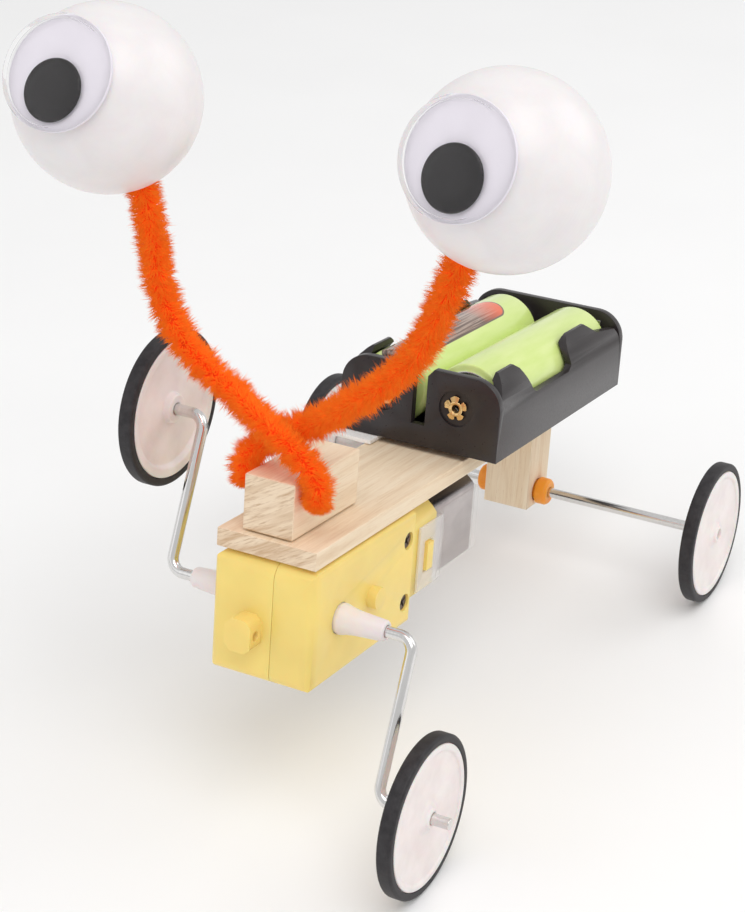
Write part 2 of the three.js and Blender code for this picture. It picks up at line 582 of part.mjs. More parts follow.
function eye(name) {
  const route = STEMS[name].map((p) => new THREE.Vector3(...p));
  const curve = new THREE.CatmullRomCurve3(route, false, 'centripetal');
  add(chassis, `${name}_stem`, tube(curve, CHENILLE_R, 28), ORANGE);

  const { centre, look } = EYES[name];
  const head = new THREE.Group();
  head.position.set(...centre);
  const up = new THREE.Vector3(0, -Math.sin(rad(PITCH)), Math.cos(rad(PITCH)));
  const z = new THREE.Vector3(...look).normalize();
  const x = up.clone().cross(z).normalize();
  head.quaternion.setFromRotationMatrix(new THREE.Matrix4().makeBasis(x, z.clone().cross(x), z));
  chassis.add(head);
  head.updateMatrix();

  const inward = head.matrix.clone().invert();
  const [below, inner] = [route.at(-4), route.at(-1)].map((p) => p.clone().applyMatrix4(inward));
  const along = inner.clone().sub(below).normalize();
  const hole = new THREE.CylinderGeometry(CHENILLE_R + 0.6, CHENILLE_R + 0.6, 16, 16);
  hole.applyQuaternion(new THREE.Quaternion().setFromUnitVectors(new THREE.Vector3(0, 1, 0), along));
  hole.translate(...inner.clone().addScaledVector(along, -4).toArray());
  const flat = 13;
  const ball = new THREE.SphereGeometry(BALL_R, 24, 15).rotateX(Math.PI / 2);
  const hollow = new THREE.SphereGeometry(BALL_R - 1.2, 14, 9).rotateX(Math.PI / 2);
  const wide = [-20, 20];
  const inside = common(hollow, block(wide, wide, [-20, flat - 1]));
  const shell = cut(ball, block(wide, wide, [flat, 30]), inside, hole);
  add(head, `${name}_eyeball`, shell, WHITE);

  const base = flat + GAP;
  add(head, `${name}_eye_back`, rod('z', EYE_R, base, base + 0.8, 32), MILKY);
  const low = base + 0.8 + 0.15;
  const outer = [[EYE_R, 0], [EYE_R, 1.4], [8.3, 2.2], [6.6, 3], [3.6, 3.6], [0, 3.8]];
  const under = [[0, 3.1], [3.6, 2.9], [6.5, 2.3], [8.3, 1.4], [8.3, 0], [EYE_R, 0]];
  const section = [...outer, ...under].map(([r, rise]) => new THREE.Vector2(r, low + rise));
  const dome = new THREE.LatheGeometry(section, 24).rotateX(Math.PI / 2);
  add(head, `${name}_eye_dome`, dome, CLEAR);
  const pupil = new THREE.LatheGeometry([[0, low + 0.2], [4.8, low + 0.2], [PUPIL_R, low + 0.5],
    [4.8, low + 1], [0, low + 1.3]].map((p) => new THREE.Vector2(...p)), 22).rotateX(Math.PI / 2);
  add(head, `${name}_pupil`, pupil.translate(0, -PUPIL_DROP, 0), BLACK);
}

woodwork();
gearbox();
gearTrain();
motor();
strap();
batteryBox();
crank(1, 30.9, 37.4);
crank(-1, 29.9, 35.6);
rearAxle();
eye('left');
eye('right');

// Centre the footprint on the origin.
car.updateMatrixWorld(true);
const extent = new THREE.Box3().setFromObject(car, true);
const middle = extent.getCenter(new THREE.Vector3());
car.position.set(-middle.x, -middle.y, 0);

export default car;
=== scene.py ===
"""Crank-driven robot car with googly eyes, on a pale studio floor. Lengths in mm, made metres by MM."""
import json
import math
import random

import bpy
import bmesh
from mathutils import Matrix, Vector


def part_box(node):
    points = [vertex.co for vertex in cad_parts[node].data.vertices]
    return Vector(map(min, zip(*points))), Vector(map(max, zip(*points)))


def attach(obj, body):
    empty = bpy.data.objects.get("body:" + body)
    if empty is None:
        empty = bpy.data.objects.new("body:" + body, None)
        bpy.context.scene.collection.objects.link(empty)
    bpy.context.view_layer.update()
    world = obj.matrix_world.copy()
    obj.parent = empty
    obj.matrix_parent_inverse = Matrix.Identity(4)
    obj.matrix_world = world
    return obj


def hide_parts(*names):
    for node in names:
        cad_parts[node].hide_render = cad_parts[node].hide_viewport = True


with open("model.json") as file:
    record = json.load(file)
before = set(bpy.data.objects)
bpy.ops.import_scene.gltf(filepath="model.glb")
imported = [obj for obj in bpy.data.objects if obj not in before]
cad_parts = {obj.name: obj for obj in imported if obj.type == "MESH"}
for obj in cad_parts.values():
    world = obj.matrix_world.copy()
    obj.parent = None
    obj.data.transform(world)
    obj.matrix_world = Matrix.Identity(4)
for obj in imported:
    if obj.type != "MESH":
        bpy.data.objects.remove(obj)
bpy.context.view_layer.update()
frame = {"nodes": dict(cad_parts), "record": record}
MM = 0.001
RECORD = frame["record"]
JOINT = {j["name"]: j for j in RECORD["behaviour"]["joints"]}
SLOT = {s["node"]: s["material_slot"] for s in RECORD["subparts"]}
BODY = {n: b for b, nodes in RECORD["behaviour"]["bodies"].items() for n in nodes}

# Sizes in mm, the same as in the CAD.
WHEEL_HALF_WIDTH = 1.4
CELL_RADIUS = 7.1
WIRE_RADIUS = 1.0
BALL_RADIUS = 15.0
BALL_FLAT = 13.0
PUPIL_DEPTH = 14.0
CRANK_INNER, CRANK_PLANE, CRANK_BEND = 12.6, 23.85, 2.6

# ---- frames: the pitched chassis, and one per eye ----
SHAFT = Vector(JOINT["output_spin"]["pos_m"])
ALONG = Vector(JOINT["rotor_spin"]["axis"])
PITCH = math.atan2(-ALONG.z, ALONG.y)
CHASSIS = Matrix.Translation(SHAFT) @ Matrix.Rotation(-PITCH, 4, "X")


def eye_frame(side):
    """Ball centre, with local Z the way the eye looks and local Y up."""
    joint = JOINT[f"{side}_pupil_slide"]
    z = Vector(joint["axis"]).normalized()
    x = Vector((0, 0, 1)).cross(z).normalized()
    facing = Matrix((x, z.cross(x), z)).transposed().to_4x4()
    return Matrix.Translation(Vector(joint["pos_m"]) - z * (PUPIL_DEPTH * MM)) @ facing


def span(node, matrix=CHASSIS):
    """A CAD node's lowest and highest corner in that frame, in mm."""
    back = matrix.inverted()
    pts = [back @ v.co for v in frame["nodes"][node].data.vertices]
    low = Vector([min(p[i] for p in pts) for i in range(3)]) / MM
    high = Vector([max(p[i] for p in pts) for i in range(3)]) / MM
    return low, high


# ---- procedural materials ----
class Shade:
    """A node material whose textures read the piece's own coordinates, in millimetres."""

    def __init__(self, name, color, rough, metal=0.0, **sockets):
        self.mat = bpy.data.materials.new(name)
        self.mat.use_nodes = True
        self.tree = self.mat.node_tree
        self.bsdf = self.tree.nodes["Principled BSDF"]
        self.bsdf.inputs["Base Color"].default_value = (*color, 1)
        self.bsdf.inputs["Roughness"].default_value = rough
        self.bsdf.inputs["Metallic"].default_value = metal
        for key, value in sockets.items():
            self.bsdf.inputs[key.replace("_", " ")].default_value = value

    def node(self, kind, inputs=(), **props):
        n = self.tree.nodes.new(kind)
        for key, value in props.items():
            setattr(n, key, value)
        for key, value in dict(inputs).items():
            if isinstance(value, bpy.types.NodeSocket):
                self.tree.links.new(value, n.inputs[key])
            else:
                n.inputs[key].default_value = value
        return n

    def coord(self, scale=(1, 1, 1), kind="Object"):
        source = self.node("ShaderNodeTexCoord").outputs[kind]
        factor = 1000 if kind == "Object" else 1
        size = tuple(s * factor for s in scale)
        return self.node("ShaderNodeMapping", {"Vector": source, "Scale": size}).outputs["Vector"]

    def noise(self, coord, scale, detail=3.0, rough=0.5, distortion=0.0):
        return self.node("ShaderNodeTexNoise", {
            "Vector": coord, "Scale": scale, "Detail": detail, "Roughness": rough,
            "Distortion": distortion}).outputs["Fac"]

    def ramp(self, fac, *stops):
        n = self.node("ShaderNodeValToRGB", {"Fac": fac})
        elements = n.color_ramp.elements
        while len(elements) < len(stops):
            elements.new(0.5)
        for element, (at, color) in zip(elements, stops):
            element.position = at
            element.color = (*color, 1)
        return n.outputs["Color"]

    def mix(self, fac, a, b):
        n = self.tree.nodes.new("ShaderNodeMix")
        n.data_type = "RGBA"
        for index, value in ((0, fac), (6, a), (7, b)):
            if isinstance(value, bpy.types.NodeSocket):
                self.tree.links.new(value, n.inputs[index])
            else:
                n.inputs[index].default_value = value if index == 0 else (*value, 1)
        return n.outputs[2]

    def math(self, op, a, b=0.0):
        n = self.node("ShaderNodeMath", operation=op)
        for i, value in enumerate((a, b)):
            if isinstance(value, bpy.types.NodeSocket):
                self.tree.links.new(value, n.inputs[i])
            else:
                n.inputs[i].default_value = value
        return n.outputs[0]

    def split(self, vector):
        return self.node("ShaderNodeSeparateXYZ", {0: vector}).outputs

    def step(self, value, start, end):
        """0 below start, 1 above end, even between."""
        return self.node("ShaderNodeMapRange", {
            "Value": value, "From Min": start, "From Max": end}).outputs[0]

    def spread(self, fac, low, high):
        """Maps 0 to 1 on to low to high."""
        return self.node("ShaderNodeMapRange", {"Value": fac, "To Min": low, "To Max": high}).outputs[0]

    def to(self, socket, value):
        self.tree.links.new(value, self.bsdf.inputs[socket])
        return self

    def bump(self, height, strength=0.3, depth=0.1):
        n = self.node("ShaderNodeBump", {"Height": height, "Strength": strength, "Distance": depth * MM})
        return self.to("Normal", n.outputs[0])


def moulded(name, color, shift, rough=0.38, grain=0.04, **sockets):
    """Moulded plastic: a slow drift of tone, faint flow marks and a fine skin."""
    s = Shade(name, color, rough, **sockets)
    slow = s.noise(s.coord(), 0.12, 2)
    fine = s.noise(s.coord(), 2.4, 4)
    dark = tuple(c * (1 - shift) for c in color)
    light = tuple(min(1, c * (1 + shift)) for c in color)
    s.to("Base Color", s.ramp(slow, (0.3, dark), (0.7, light)))
    s.to("Roughness", s.spread(fine, rough - 0.08, rough + 0.1))
    return s.bump(fine, 0.18, grain)


def metal(name, color, rough, stretch=(1, 1, 1), lines=2.0, strength=0.12):
    """Drawn or rolled metal: fine lines along the stretched axis and a mottled shine."""
    s = Shade(name, color, rough, 1.0)
    brushed = s.noise(s.coord(stretch), lines, 5, 0.6)
    spots = s.noise(s.coord(), 0.5, 3)
    s.to("Base Color", s.ramp(brushed, (0.2, tuple(c * 0.82 for c in color)), (0.8, color)))
    drawn = s.spread(brushed, rough * 0.7, rough * 1.25)
    s.to("Roughness", s.math("ADD", drawn, s.spread(spots, -0.03, 0.06)))
    return s.bump(brushed, strength, 0.02)


def motor_can(name):
    """Satin plated can, brushed along the motor, with a painted dark reflection on its curved top and
    underside.
    """
    s = Shade(name, (0.6, 0.55, 0.55), 0.36, 0.85)
    lines = s.noise(s.coord((1, 0.05, 1)), 3.0, 5, 0.6)
    patch = s.noise(s.coord(), 0.35, 4, 0.6)
    height = s.math("ABSOLUTE", s.split(s.coord())["Z"])
    # Painted dark reflection: from 6.3 to 7.3 mm above and below the shaft outward, the can goes near
    # black and glossier.
    edge = s.step(height, 6.3, 7.3)
    flat = s.ramp(s.mix(0.5, lines, patch), (0.3, (0.42, 0.37, 0.37)), (0.7, (0.66, 0.6, 0.59)))
    s.to("Base Color", s.mix(edge, flat, (0.045, 0.038, 0.04)))
    s.to("Roughness", s.math("SUBTRACT", s.spread(lines, 0.3, 0.46), s.math("MULTIPLY", edge, 0.2)))
    return s.bump(lines, 0.12, 0.02)


def wood(name, axis=1):
    """Bare pale softwood with its grain along one local axis, and darker end grain across it."""
    s = Shade(name, (0.83, 0.64, 0.45), 0.72, Specular_IOR_Level=0.25)
    along = [1.0, 1.0, 1.0]
    along[axis] = 0.045
    cross = [1.0, 1.0, 1.0]
    cross[axis] = 0.16
    bands = s.noise(s.coord(tuple(along)), 0.55, 5, 0.55, 0.5)
    fibre = s.noise(s.coord(tuple(along)), 3.2, 6, 0.65, 0.3)
    flecks = s.noise(s.coord(tuple(cross)), 4.5, 2)
    face = s.ramp(bands, (0.3, (0.74, 0.55, 0.36)), (0.46, (0.84, 0.67, 0.47)),
                  (0.62, (0.89, 0.75, 0.56)), (0.8, (0.82, 0.63, 0.43)))
    fine = s.ramp(fibre, (0.32, (0.68, 0.48, 0.3)), (0.52, (0.92, 0.78, 0.6)))
    face = s.mix(0.35, face, fine)
    fleck_mask = s.ramp(flecks, (0.66, (0, 0, 0)), (0.74, (0.35, 0.35, 0.35)))
    face = s.mix(fleck_mask, face, (0.6, 0.38, 0.22))

    tilt = s.node("ShaderNodeVectorRotate", {"Vector": s.coord(), "Angle": 0.5},
                  rotation_type="Y_AXIS").outputs[0]
    streak = s.node("ShaderNodeMapping", {"Vector": tilt, "Scale": (0.22, 0.22, 2.2)}).outputs[0]
    layers = s.node("ShaderNodeMapping", {"Vector": tilt, "Scale": (0.1, 0.1, 1.0)}).outputs[0]
    pores = s.noise(streak, 1.5, 4, 0.65)
    rings = s.noise(layers, 0.9, 3, 0.5, 0.4)
    end = s.ramp(rings, (0.3, (0.62, 0.43, 0.27)), (0.6, (0.86, 0.7, 0.52)))
    pore_mask = s.ramp(pores, (0.5, (0, 0, 0)), (0.66, (0.7, 0.7, 0.7)))
    end = s.mix(pore_mask, end, (0.52, 0.33, 0.19))

    facing = s.math("ABSOLUTE", s.split(s.coord(kind="Normal"))[axis])
    is_end = s.math("GREATER_THAN", facing, 0.75)
    s.to("Base Color", s.mix(is_end, face, end))
    s.to("Roughness", s.spread(fibre, 0.62, 0.85))
    return s.bump(s.math("ADD", fibre, s.math("MULTIPLY", pores, 0.6)), 0.35, 0.08)


def printed_window(s, xyz, wrap):
    """A streaked brown stripe down the top of the cell, with a round red end and a dark rim."""
    angle = s.math("ARCTAN2", xyz["X"], xyz["Z"])
    across = s.math("MULTIPLY", s.math("SUBTRACT", angle, 0.06), CELL_RADIUS)
    past = s.math("MAXIMUM", s.math("SUBTRACT", xyz["Y"], 13.5), 0.0)
    square = s.math("ADD", s.math("MULTIPLY", across, across), s.math("MULTIPLY", past, past))
    reach = s.math("SQRT", square)
    streak = s.noise(s.coord((1, 0.03, 1)), 1.6, 4, 0.6)
    brown = s.ramp(streak, (0.38, (0.07, 0.035, 0.025)), (0.5, (0.24, 0.15, 0.11)),
                   (0.58, (0.45, 0.34, 0.28)), (0.66, (0.22, 0.13, 0.1)))
    stripe = s.mix(s.step(xyz["Y"], 6.0, 15.0), brown, (0.85, 0.13, 0.035))
    stripe = s.mix(s.step(reach, 3.4, 3.7), stripe, (0.12, 0.08, 0.06))
    return s.mix(s.step(reach, 3.85, 3.95), stripe, wrap)


def cell_wrap(name, printed):
    """Shiny printed wrap on a cell: yellow-green, with an optional streaked window on top."""
    s = Shade(name, (0.7, 0.82, 0.3), 0.26, Coat_Weight=0.4, Coat_Roughness=0.12)
    xyz = s.split(s.coord())
    slow = s.noise(s.coord((1, 0.2, 1)), 0.5, 3)
    green = s.ramp(slow, (0.3, (0.64, 0.79, 0.24)), (0.7, (0.72, 0.84, 0.32)))
    if printed:
        green = printed_window(s, xyz, green)
    ends = s.math("GREATER_THAN", s.math("ABSOLUTE", xyz["Y"]), 24.9)
    s.to("Base Color", s.mix(ends, green, (0.55, 0.54, 0.52)))
    s.to("Metallic", ends)
    return s.bump(s.noise(s.coord(), 1.2, 2), 0.1, 0.03)


def pile_fibre(name, light, dark):
    """Cut pile, unevenly dyed. The weak glow is there because the pile came out darker than the photo."""
    s = Shade(name, light, 0.8, Specular_IOR_Level=0.1, Emission_Color=(1.0, 0.13, 0.008, 1),
              Emission_Strength=0.2)
    clump = s.noise(s.coord(), 0.9, 3)
    strand = s.noise(s.coord(), 6.0, 1)
    tone = s.math("ADD", s.math("MULTIPLY", clump, 0.6), s.math("MULTIPLY", strand, 0.4))
    s.to("Base Color", s.ramp(tone, (0.3, dark), (0.62, light)))
    return s.bump(strand, 0.2, 0.05)


def eyeball(name):
    """White plastic with faint clouding."""
    s = Shade(name, (0.86, 0.84, 0.83), 0.34, Coat_Weight=0.25, Coat_Roughness=0.25,
              Subsurface_Weight=0.25, Subsurface_Scale=0.002)
    cloud = s.noise(s.coord(), 0.16, 4, 0.6, 0.6)
    fine = s.noise(s.coord(), 1.4, 4)
    s.to("Base Color", s.ramp(cloud, (0.35, (0.79, 0.755, 0.76)), (0.65, (0.82, 0.79, 0.79))))
    s.to("Roughness", s.spread(cloud, 0.28, 0.42))
    return s.bump(fine, 0.1, 0.04)


def wheel_disc(name):
    """Milky plastic with faint turned rings."""
    s = Shade(name, (0.84, 0.78, 0.76), 0.32, Subsurface_Weight=0.3, Subsurface_Scale=0.002)
    xyz = s.split(s.coord())
    y_square = s.math("MULTIPLY", xyz["Y"], xyz["Y"])
    square = s.math("ADD", y_square, s.math("MULTIPLY", xyz["Z"], xyz["Z"]))
    rings = s.math("SINE", s.math("MULTIPLY", s.math("SQRT", square), 9.0))
    cloud = s.noise(s.coord(), 0.2, 3)
    s.to("Base Color", s.ramp(cloud, (0.3, (0.78, 0.71, 0.69)), (0.7, (0.88, 0.82, 0.8))))
    s.to("Roughness", s.spread(cloud, 0.25, 0.4))
    return s.bump(s.math("ADD", rings, s.noise(s.coord(), 2.0, 3)), 0.08, 0.03)


def rubber(name):
    """Black rubber with patchy dust."""
    s = Shade(name, (0.022, 0.02, 0.022), 0.55, Specular_IOR_Level=0.4)
    dust = s.noise(s.coord(), 0.7, 4, 0.7)
    skin = s.noise(s.coord(), 5.0, 4)
    s.to("Base Color", s.ramp(dust, (0.35, (0.014, 0.012, 0.014)), (0.75, (0.04, 0.037, 0.04))))
    s.to("Roughness", s.spread(dust, 0.42, 0.68))
    return s.bump(skin, 0.35, 0.05)


def foam(name):
    """White foam with open cells, and painted shade in the cells' pits."""
    s = Shade(name, (0.88, 0.87, 0.84), 0.8)
    cells = s.node("ShaderNodeTexVoronoi", {"Vector": s.coord(), "Scale": 3.0}).outputs["Distance"]
    # Painted shade: each cell gets darker towards its middle, the low point of the bump.
    s.to("Base Color", s.ramp(cells, (0.0, (0.74, 0.73, 0.7)), (0.5, (0.92, 0.91, 0.89))))
    return s.bump(cells, 0.5, 0.12)


def clear(name, tint, rough, **sockets):
    """Clear plastic with slow waves in its skin."""
    s = Shade(name, tint, rough, **sockets)
    waves = s.noise(s.coord(), 0.3, 2)
    s.to("Roughness", s.spread(waves, rough, rough + 0.03))
    return s.bump(waves, 0.06, 0.05)


def strap_plastic(name):
    """Clear strap, cloudier where it is thick over the collar's catches."""
    s = clear(name, (0.93, 0.91, 0.88), 0.14)
    along = s.split(s.coord())["Y"]
    veil = s.node("ShaderNodeMapRange", {
        "Value": along, "From Min": 37.5, "From Max": 41.0, "To Min": 0.4, "To Max": 0.1}).outputs[0]
    return s.to("Alpha", veil)


MATS = {
    "bare_wood": wood("bare_wood"),
    "upright_wood": wood("upright_wood", 2),
    "foam_tape": foam("foam_tape"),
    "yellow_plastic": moulded("yellow_plastic", (0.93, 0.69, 0.2), 0.04, 0.34,
                              Subsurface_Weight=0.2, Subsurface_Scale=0.003),
    "bright_steel": metal("bright_steel", (0.8, 0.79, 0.78), 0.16, (1, 1, 0.06)),
    "motor_steel": motor_can("motor_steel"),
    "black_plastic": moulded("black_plastic", (0.022, 0.017, 0.018), 0.2, 0.3, 0.06),
    "dull_steel": metal("dull_steel", (0.2, 0.16, 0.15), 0.4),
    "magnet_ferrite": metal("magnet_ferrite", (0.12, 0.11, 0.12), 0.55),
    "brass_metal": metal("brass_metal", (0.86, 0.58, 0.26), 0.24),
    "clear_strap": strap_plastic("clear_strap"),
    "cell_wrap": cell_wrap("cell_wrap", False),
    "printed_wrap": cell_wrap("printed_wrap", True),
    "orange_plastic": moulded("orange_plastic", (1.0, 0.34, 0.02), 0.08, 0.38,
                              Subsurface_Weight=0.25, Subsurface_Scale=0.002),
    "chenille": pile_fibre("chenille", (1.0, 0.25, 0.018), (1.0, 0.12, 0.008)),
    # The core is painted dark red: painted shade deep inside the pile.
    "chenille_core": pile_fibre("chenille_core", (0.9, 0.05, 0.004), (0.55, 0.02, 0.002)),
    "ball_plastic": eyeball("ball_plastic"),
    "eye_card": moulded("eye_card", (0.8, 0.76, 0.83), 0.03, 0.4),
    "clear_dome": clear("clear_dome", (1.0, 1.0, 1.0), 0.02,
                        Transmission_Weight=0.99, IOR=1.03),
    "pupil_black": moulded("pupil_black", (0.009, 0.007, 0.008), 0.2, 0.22,
                           Specular_IOR_Level=0.4),
    "white_nylon": moulded("white_nylon", (0.84, 0.76, 0.76), 0.04, 0.36,
                           Subsurface_Weight=0.3, Subsurface_Scale=0.002),
    "milky_plastic": wheel_disc("milky_plastic"),
    "tyre_rubber": rubber("tyre_rubber"),
}


# ---- mesh helpers ----
def make(name, bm, matrix, mat, nodes):
    """Turns a bmesh in mm into a piece that stands for some CAD nodes and rides on their body."""
    bmesh.ops.recalc_face_normals(bm, faces=bm.faces)
    mesh = bpy.data.meshes.new(name)
    bm.to_mesh(mesh)
    bm.free()
    mesh.transform(Matrix.Scale(MM, 4))
    for poly in mesh.polygons:
        poly.use_smooth = True
    piece = bpy.data.objects.new(name, mesh)
    bpy.context.scene.collection.objects.link(piece)
    piece.matrix_world = matrix
    mesh.materials.append(MATS[mat].mat)
    bpy.context.view_layer.update()
    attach(piece, BODY[nodes[0]])
    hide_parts(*nodes)
    return piece


def soften(piece, width, segments=3, angle=32):
    """Rounds a piece's hard edges by width mm and keeps its flat faces flat."""
    bevel = piece.modifiers.new("rounded_edges", "BEVEL")
    bevel.width = width * MM
    bevel.segments = segments
    bevel.limit_method = "ANGLE"
    bevel.angle_limit = math.radians(angle)
    bevel.harden_normals = True
    bevel.miter_outer = "MITER_ARC"
    return piece


def slab(name, low, high, mat, nodes, edge):
    """A box between two corners in the chassis frame, with its edges rounded."""
    bm = bmesh.new()
    bmesh.ops.create_cube(bm, size=1)
    size = Vector(high) - Vector(low)
    for v in bm.verts:
        v.co = Vector(low) + Vector([(v.co[i] + 0.5) * size[i] for i in range(3)])
    return soften(make(name, bm, CHASSIS, mat, nodes), edge)


def refine(node, width, mat=None, name=None, angle=32):
    """The CAD node's own shape, with coplanar facets joined and its edges rounded."""
    source = frame["nodes"][node]
    bm = bmesh.new()
    bm.from_mesh(source.data)
    to_frame = Matrix.Scale(1 / MM, 4) @ CHASSIS.inverted() @ source.matrix_world
    bmesh.ops.transform(bm, matrix=to_frame, verts=bm.verts)
    bmesh.ops.remove_doubles(bm, verts=bm.verts, dist=0.004)
    bmesh.ops.dissolve_limit(bm, angle_limit=math.radians(1.5), verts=bm.verts, edges=bm.edges)
    piece = make(name or f"{node}_shell", bm, CHASSIS, mat or SLOT[node], [node])
    return soften(piece, width, angle=angle)


def rounded(profile, r, steps=4):
    """A closed or open profile with each corner turned into a short curve of size r."""
    closed = profile[0] == profile[-1]
    pts = [Vector(p) for p in (profile[:-1] if closed else profile)]
    out = []
    for i, p in enumerate(pts):
        if not closed and i in (0, len(pts) - 1):
            out.append(p)
            continue
        a, b = pts[i - 1], pts[(i + 1) % len(pts)]
        cut = min(r, (a - p).length * 0.45, (b - p).length * 0.45)
        start, end = p + (a - p).normalized() * cut, p + (b - p).normalized() * cut
        for k in range(steps + 1):
            t = k / steps
            out.append(start * (1 - t) ** 2 + p * 2 * t * (1 - t) + end * t ** 2)
    return out, closed


def turn(profile, axis="X", sides=72, r=0.15):
    """Turns a profile of (radius, place) about one axis, with its corners rounded."""
    pts, closed = rounded(profile, r)
    bm = bmesh.new()
    rings = []
    for radius, place in pts:
        if radius < 1e-6:
            rings.append([bm.verts.new(point(axis, 0, 0, place))])
            continue
        ring = []
        for k in range(sides):
            a = 2 * math.pi * k / sides
            ring.append(bm.verts.new(point(axis, radius * math.cos(a), radius * math.sin(a), place)))
        rings.append(ring)
    pairs = list(zip(rings, rings[1:] + rings[:1])) if closed else list(zip(rings, rings[1:]))
    for a, b in pairs:
        for k in range(sides):
            corners = [a[k % len(a)], a[(k + 1) % len(a)], b[(k + 1) % len(b)], b[k % len(b)]]
            unique = list(dict.fromkeys(corners))
            if len(unique) > 2:
                bm.faces.new(unique)
    return bm


def point(axis, p, q, along):
    """Places a point of a turned profile, along being measured on the turning axis."""
    return {"X": (along, p, q), "Y": (q, along, p), "Z": (p, q, along)}[axis]


def sweep(path, radius, sides):
    """A round capped wire along a list of points, with its frame carried along without twist."""
    bm = bmesh.new()
    rings, side = [], None
    for i, p in enumerate(path):
        ahead = (path[min(i + 1, len(path) - 1)] - path[max(i - 1, 0)]).normalized()
        side = ahead.orthogonal() if side is None else side - ahead * side.dot(ahead)
        side.normalize()
        other = ahead.cross(side)
        rings.append([bm.verts.new(p + (side * math.cos(a) + other * math.sin(a)) * radius)
                      for a in (2 * math.pi * k / sides for k in range(sides))])
    for a, b in zip(rings, rings[1:]):
        for k in range(sides):
            bm.faces.new((a[k], a[(k + 1) % sides], b[(k + 1) % sides], b[k]))
    bm.faces.new(rings[0][::-1])
    bm.faces.new(rings[-1])
    return bm


def arc_path(corners, bend, steps=10):
    """Straight runs between corner points, joined by bends."""
    path = [corners[0]]
    for a, p, b in zip(corners, corners[1:], corners[2:]):
        start, end = p + (a - p).normalized() * bend, p + (b - p).normalized() * bend
        for k in range(steps + 1):
            t = k / steps * math.pi / 2
            path.append(start + (p - start) * math.sin(t) + (end - p) * (1 - math.cos(t)))
    return path + [corners[-1]]


# ---- camera, light and floor ----
def camera():
    """The photograph's viewing angle, placed from the output shaft."""
    az, el, roll = map(math.radians, (28.71, 28.0, -1.15))
    back = Vector((math.sin(az) * math.cos(el), -math.cos(az) * math.cos(el), math.sin(el)))
    right = Vector((math.cos(az), math.sin(az), 0))
    up = back.cross(right)
    turned = right * math.cos(roll) + up * math.sin(roll)
    data = bpy.data.cameras.new("camera")
    data.sensor_fit = "VERTICAL"
    data.sensor_height = 36
    data.lens = 87.44
    data.shift_x, data.shift_y = -0.0174, -0.0605
    data.clip_end = 10
    cam = bpy.data.objects.new("camera", data)
    bpy.context.scene.collection.objects.link(cam)
    offset = Vector((166.16, -267.07, 205.3)) * MM
    axes = Matrix((turned, back.cross(turned), back)).transposed().to_4x4()
    cam.matrix_world = Matrix.Translation(SHAFT + offset) @ axes
    bpy.context.scene.camera = cam


def area(name, place, size, power, color=(1, 1, 1)):
    data = bpy.data.lights.new(name, "AREA")
    data.shape = "DISK"
    data.size = size
    data.energy = power
    data.color = color
    lamp = bpy.data.objects.new(name, data)
    bpy.context.scene.collection.objects.link(lamp)
    lamp.location = place
    lamp.rotation_euler = (Vector((0, 0, 0.05)) - Vector(place)).to_track_quat("-Z", "Y").to_euler()


def studio():
    """Soft white light and a plain pale floor."""
    world = bpy.data.worlds.new("studio")
    world.use_nodes = True
    world.node_tree.nodes["Background"].inputs["Color"].default_value = (1, 1, 1, 1)
    world.node_tree.nodes["Background"].inputs["Strength"].default_value = 0.72
    bpy.context.scene.world = world
    bpy.context.scene.view_settings.view_transform = "Standard"
    area("key", (0.3, -0.25, 0.8), 0.7, 2.7, (1, 0.99, 0.98))
    area("fill", (-0.6, -0.5, 0.45), 0.7, 0.5, (0.98, 0.98, 1))
    area("rim", (0.5, 0.5, 0.5), 0.6, 1.0)
    bm = bmesh.new()
    bmesh.ops.create_grid(bm, x_segments=8, y_segments=8, size=3)
    mesh = bpy.data.meshes.new("floor")
    bm.to_mesh(mesh)
    bm.free()
    floor = bpy.data.objects.new("floor", mesh)
    bpy.context.scene.collection.objects.link(floor)
    s = Shade("floor_paper", (0.93, 0.93, 0.93), 0.9)
    drift = s.noise(s.coord(), 0.02, 2)
    s.to("Base Color", s.ramp(drift, (0.3, (0.925, 0.925, 0.925)), (0.7, (0.94, 0.94, 0.94))))
    mesh.materials.append(s.mat)


# ---- wood, tape ----
def woodwork():
    for node, mat, edge in (("deck_plank", "bare_wood", 0.22), ("neck_block", "bare_wood", 0.3)):
        slab(f"{node}_timber", *span(node), mat, [node], edge=edge)
    refine("axle_block", 0.25, "upright_wood", name="axle_block_timber")
    refine("battery_tape", 0.12, name="battery_foam_tape")


# ---- gearbox and motor ----
def gearbox_and_motor():
    refine("gearbox_left", 0.07, angle=48)
    refine("gearbox_right", 0.07, angle=48)
    for side in ("left", "right"):
        refine(f"{side}_shaft_end", 0.12, angle=50)
    refine("motor_can", 0.3, angle=40)
    refine("motor_strap", 0.18)
    refine("motor_end_bell", 0.2)
    for which in ("upper", "lower"):
        refine(f"screw_{which}", 0.05, "dull_steel")


# ---- battery holder ----
def battery():
    refine("battery_box", 0.3, angle=38)
    for side in ("left", "right"):
        cell(side)
        rivet(side)
        spring(side)


def cell(side):
    """One AA cell. The left cell's nub points to the front, the right cell's to the back."""
    low, high = span(f"{side}_cell")
    middle = (low + high) / 2
    r = (high.x - low.x) / 2
    half = (high.y - low.y) / 2
    tip = half - 1.1
    profile = [(0, -half), (5.6, -half), (6.0, -half + 0.25), (r, -half + 0.5), (r, tip - 0.5),
               (6.2, tip), (2.75, tip), (2.75, half), (0, half)]
    bm = turn(profile, "Y", 64, 0.35)
    mat = "cell_wrap"
    if side == "left":
        mat = "printed_wrap"
        bmesh.ops.transform(bm, matrix=Matrix.Rotation(math.pi, 4, "Z"), verts=bm.verts)
    place = CHASSIS @ Matrix.Translation(middle * MM)
    make(f"{side}_cell_can", bm, place, mat, [f"{side}_cell"])


